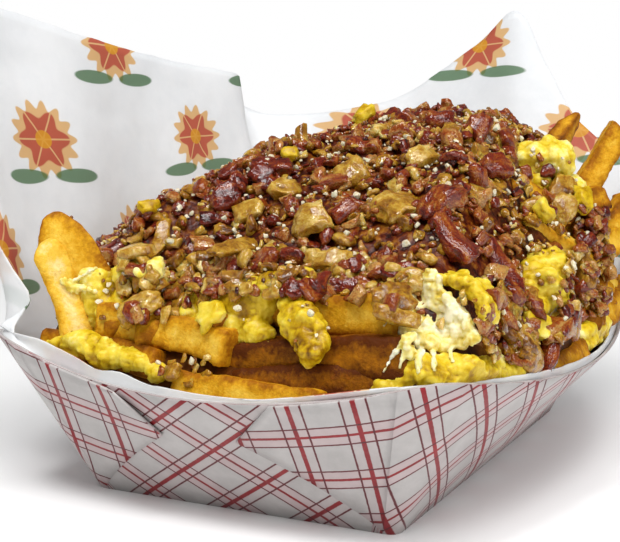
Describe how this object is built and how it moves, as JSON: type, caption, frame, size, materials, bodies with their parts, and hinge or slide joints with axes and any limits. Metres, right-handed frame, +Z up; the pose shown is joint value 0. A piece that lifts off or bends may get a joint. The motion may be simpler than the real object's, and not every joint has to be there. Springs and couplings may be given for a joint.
{
  "type": "breakfast fries",
  "caption": "Heap of fries topped with scrambled egg, melted cheese, chopped bacon and onion in a plaid paperboard food tray with a standing paper liner.",
  "frame": {"origin": "middle of the tray's underside", "axes": "+Z up, +Y along the tray toward the end where the liner stands up in a point, +X toward the low long side"},
  "size_m": [0.1877, 0.2269, 0.1501],
  "materials": {
    "tray_board": "clay-coated white paperboard printed with a dark red plaid, satin",
    "liner_paper": "thin dry-waxed deli paper, off-white, printed here and there",
    "fried_potato": "food: battered potato fried golden, lightly oily",
    "scrambled_egg": "food: scrambled egg, moist and soft",
    "melted_cheese": "food: melted white cheese, glossy",
    "bacon_and_onion": "food: chopped fried bacon with golden onion, greasy"
  },
  "bodies": {
    "root": {"tray": "tray_board", "liner": "liner_paper", "fries": "fried_potato", "egg_left": "scrambled_egg", "egg_front_left": "scrambled_egg", "egg_middle": "scrambled_egg", "egg_drip": "scrambled_egg", "egg_front_right": "scrambled_egg", "egg_arch": "scrambled_egg", "egg_right": "scrambled_egg", "egg_right_rim": "scrambled_egg", "egg_back_right": "scrambled_egg", "egg_back_left": "scrambled_egg", "egg_back": "scrambled_egg", "melted_cheese": "melted_cheese", "bacon_and_onion": "bacon_and_onion"}
  },
  "joints": []
}
